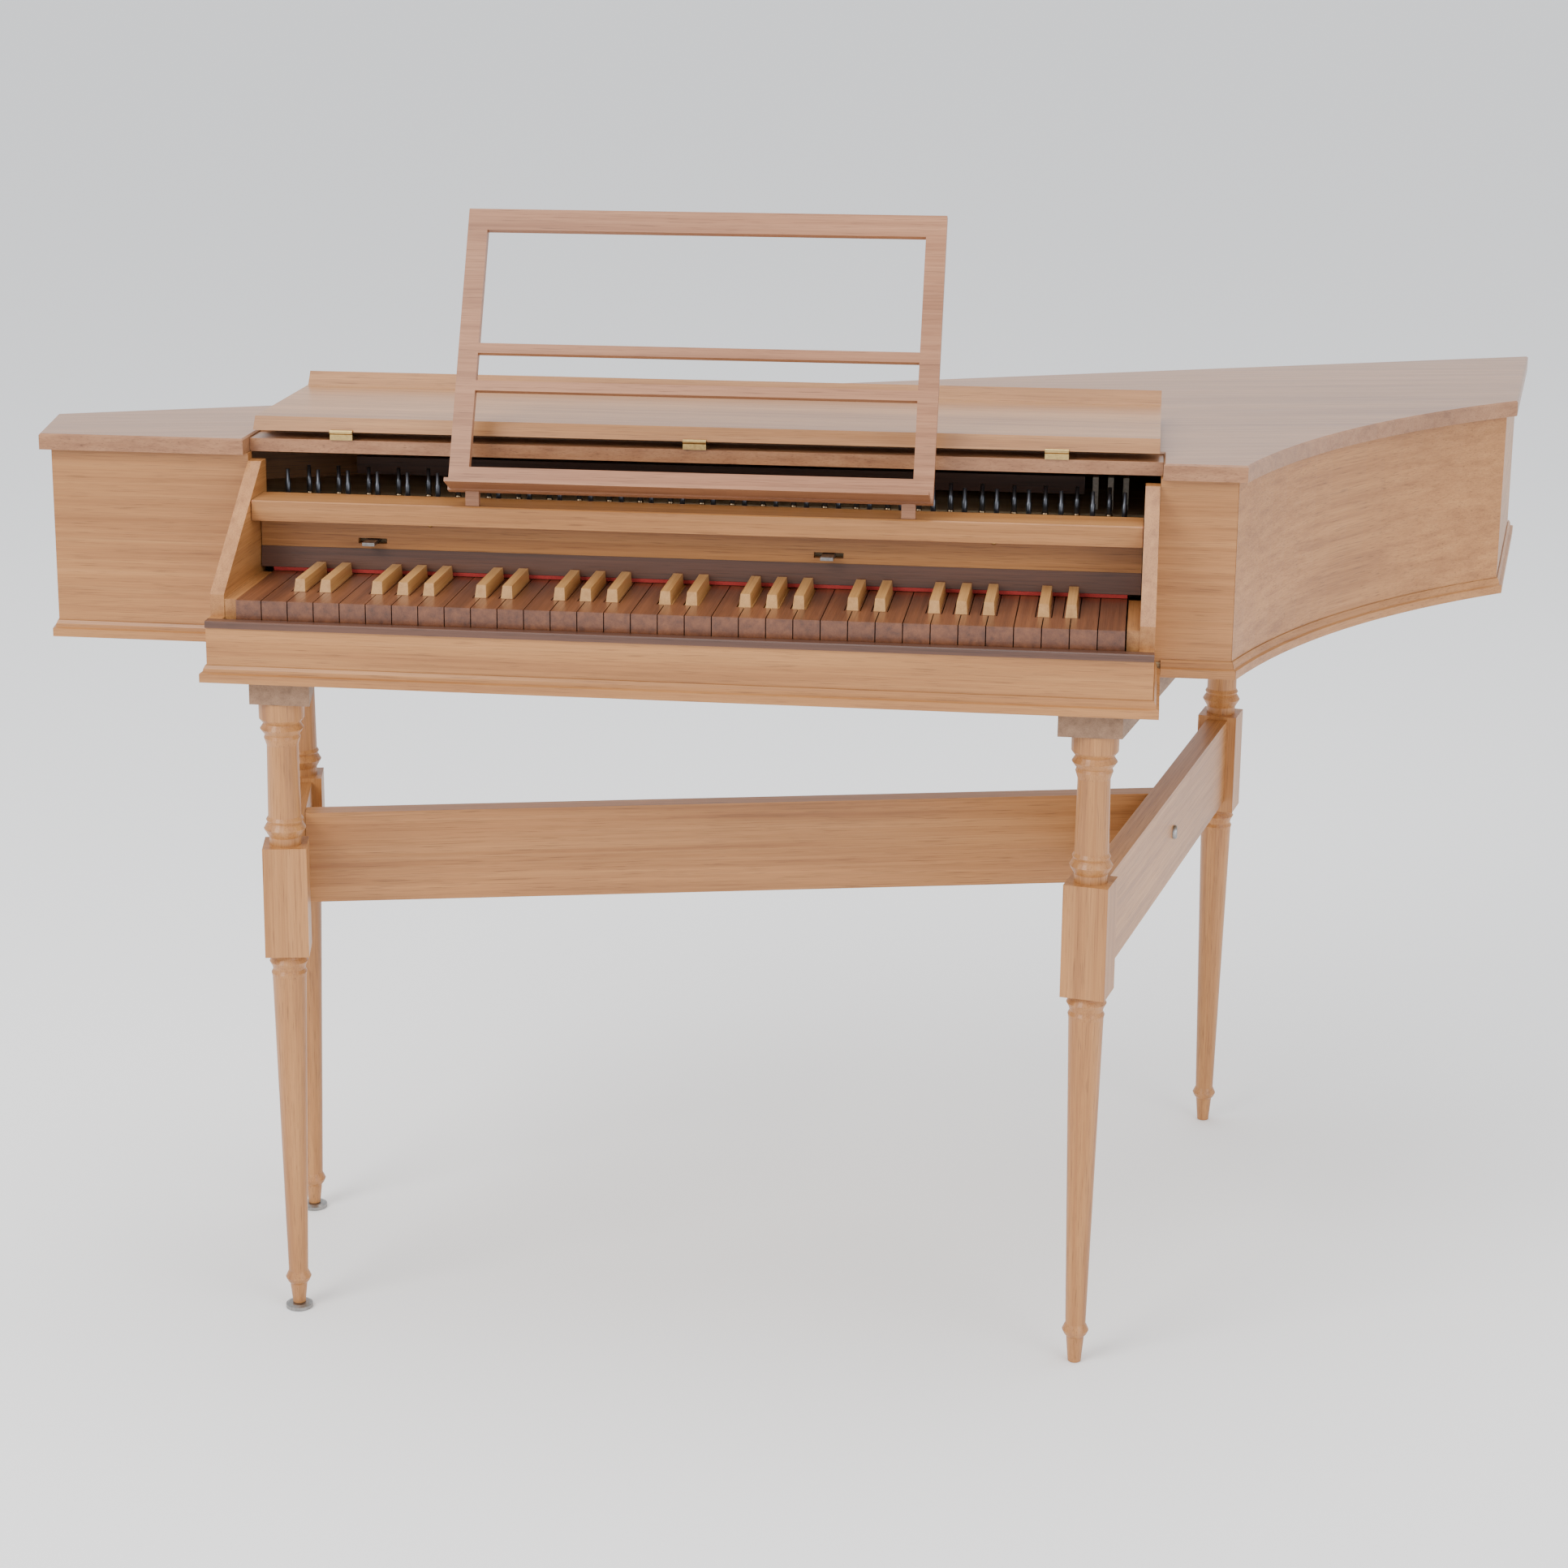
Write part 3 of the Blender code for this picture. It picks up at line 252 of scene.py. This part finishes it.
def paint_nodes():
    """Each CAD node's material. The sharps in a key group are pale, its naturals dark."""
    named = {name: material for material, names in LOOKS.items() for name in names}
    for name, obj in NODES.items():
        material = named.get(name, maple if name.startswith("sharp") else rosewood)
        obj.data.materials.clear()
        obj.data.materials.append(material)
        if not name.startswith("keys_"):
            continue
        obj.data.materials.append(maple)
        for face in obj.data.polygons:
            if face.center.z > SHARP_ABOVE and SHARP_FRONT < face.center.y < SHARP_BACK:
                face.material_index = 1


def mesh_piece(name, points, faces, material, body, smooth=False):
    mesh = bpy.data.meshes.new(name)
    mesh.from_pydata(points, [], faces)
    mesh.validate()
    mesh.update()
    obj = bpy.data.objects.new(name, mesh)
    bpy.context.scene.collection.objects.link(obj)
    mesh.materials.append(material)
    if smooth:
        for face in mesh.polygons:
            face.use_smooth = True
    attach(obj, body)
    return obj


def box(name, low, high, material, body):
    (x0, y0, z0), (x1, y1, z1) = low, high
    points = [(x, y, z) for z in (z0, z1) for x, y in ((x0, y0), (x1, y0), (x1, y1), (x0, y1))]
    faces = [(3, 2, 1, 0), (4, 5, 6, 7), (0, 1, 5, 4), (1, 2, 6, 5), (2, 3, 7, 6), (3, 0, 4, 7)]
    return mesh_piece(name, points, faces, material, body)


def lathe(name, profile, place, material, body, axis="Z", steps=20):
    """A round piece: (height, radius) pairs about an axis through place."""
    points = []
    for along, radius in profile:
        for i in range(steps):
            a = 2 * math.pi * i / steps
            u, v = radius * math.cos(a), radius * math.sin(a)
            local = {"Z": (u, v, along), "X": (along, u, v), "Y": (v, along, u)}[axis]
            points.append(tuple(p + q for p, q in zip(place, local)))
    faces = []
    for r in range(len(profile) - 1):
        for i in range(steps):
            j = (i + 1) % steps
            faces.append((r * steps + i, r * steps + j, (r + 1) * steps + j, (r + 1) * steps + i))
    faces.append(tuple(range(steps))[::-1])
    faces.append(tuple((len(profile) - 1) * steps + i for i in range(steps)))
    return mesh_piece(name, points, faces, material, body, True)


def add_pins():
    """Tuning pins in two staggered rows on the wrestplank, with a coil of wire on each."""
    random.seed(7)
    for i in range(PIN_COUNT):
        x = -PIN_SPAN / 2 + i * PIN_SPAN / (PIN_COUNT - 1)
        y = PIN_ROW_Y + PIN_ROW_STEP * (i % 2)
        stray = random.uniform(-PIN_STRAY, PIN_STRAY)
        lathe(f"pin_{i:02d}", PIN_PROFILE, (x + stray, y, PLANK_TOP), blued, "case", steps=8)
        lathe(f"coil_{i:02d}", COIL_PROFILE, (x + stray, y, PLANK_TOP + COIL_LIFT), wire, "case", steps=10)


def add_trim():
    """Jacks right of the jack rail, red felts, screws and the stretcher's bolt."""
    for i in range(JACK_COUNT):
        x = JACK_X + i * JACK_PITCH
        box(f"jack_{i}", (x, 0.2625, 0.7127), (x + JACK_WIDTH, 0.274, 0.742), jack_white, "case")
    box("felt_line", (-0.377, 0.1205, 0.6635), (0.377, 0.1235, 0.6666), felt, "case")
    for side, name in ((-1, "left"), (1, "right")):
        x0, x1 = sorted((side * 0.3884, side * 0.3855))
        box(f"felt_end_{name}", (x0, 0.0948, 0.714), (x1, 0.125, 0.731), felt, "case")
    for i, x in enumerate(NAMEBOARD_SCREWS):
        profile = [(0.0, 0.0022), (-0.0008, 0.0020), (-0.0012, 0.0012)]
        lathe(f"nameboard_screw_{i}", profile, (x, 0.1241, 0.708), brass, "case", "Y", 16)
    for h, centre in enumerate(HINGE_CENTRES):
        for k, dx in enumerate((-HINGE_SCREW_STEP, HINGE_SCREW_STEP)):
            profile = [(0.0, 0.0020), (0.0004, 0.0019), (0.0007, 0.0010)]
            lathe(f"hinge_screw_{h}_{k}", profile, (centre + dx, 0.1555, 0.77952), brass, "lid", steps=14)
    profile = [(-0.004, 0.0065), (0.0028, 0.0065), (0.0036, 0.0055)]
    lathe("stretcher_bolt", profile, (0.4263, 0.324, 0.396), steel, "case", "X", 24)


def soften_edges():
    for name, obj in NODES.items():
        if name.startswith(NO_SOFT_EDGE):
            continue
        bevel = obj.modifiers.new("soft edge", "BEVEL")
        bevel.width = EDGE_WIDTH
        bevel.segments = 2
        bevel.limit_method = "ANGLE"
        bevel.angle_limit = math.radians(EDGE_ANGLE)


def add_floor():
    material = bpy.data.materials.new("floor")
    material.use_nodes = True
    shader = material.node_tree.nodes["Principled BSDF"]
    shader.inputs["Base Color"].default_value = (*WHITE, 1)
    shader.inputs["Roughness"].default_value = 0.8
    mesh = bpy.data.meshes.new("floor")
    corners = [(-1, -1), (1, -1), (1, 1), (-1, 1)]
    mesh.from_pydata([(x * FLOOR_HALF, y * FLOOR_HALF, FLOOR_Z) for x, y in corners], [], [(0, 1, 2, 3)])
    floor = bpy.data.objects.new("floor", mesh)
    mesh.materials.append(material)
    bpy.context.scene.collection.objects.link(floor)


def area_light(name, place, size, power, colour=WHITE):
    """A round soft light turned to the middle of the object."""
    light = bpy.data.lights.new(name, "AREA")
    light.shape = "DISK"
    light.size = size
    light.energy = power
    light.color = colour
    obj = bpy.data.objects.new(name, light)
    obj.location = place
    obj.rotation_euler = (Vector(MIDDLE) - Vector(place)).to_track_quat("-Z", "Y").to_euler()
    bpy.context.scene.collection.objects.link(obj)


def add_world():
    world = bpy.data.worlds.new("studio")
    bpy.context.scene.world = world
    world.use_nodes = True
    background = world.node_tree.nodes["Background"]
    background.inputs["Color"].default_value = (0.95, 0.97, 1.0, 1)
    background.inputs["Strength"].default_value = 1.15


def add_camera():
    camera = bpy.data.cameras.new("camera")
    camera.lens = CAMERA_LENS
    camera.sensor_width = CAMERA_SENSOR
    camera.shift_x, camera.shift_y = CAMERA_SHIFT
    obj = bpy.data.objects.new("camera", camera)
    obj.location = CAMERA_PLACE
    obj.rotation_euler = [math.radians(v) for v in CAMERA_TURN]
    bpy.context.scene.collection.objects.link(obj)
    bpy.context.scene.camera = obj


paint_nodes()
add_pins()
add_trim()
soften_edges()
add_floor()
area_light("key light", (-2.2, -2.6, 3.2), 2.2, 120, (1.0, 0.98, 0.95))
area_light("fill light", (3.0, -2.4, 1.8), 2.6, 55, (0.96, 0.98, 1.0))
area_light("top light", (0.2, 0.6, 3.6), 3.0, 60)
add_world()
add_camera()
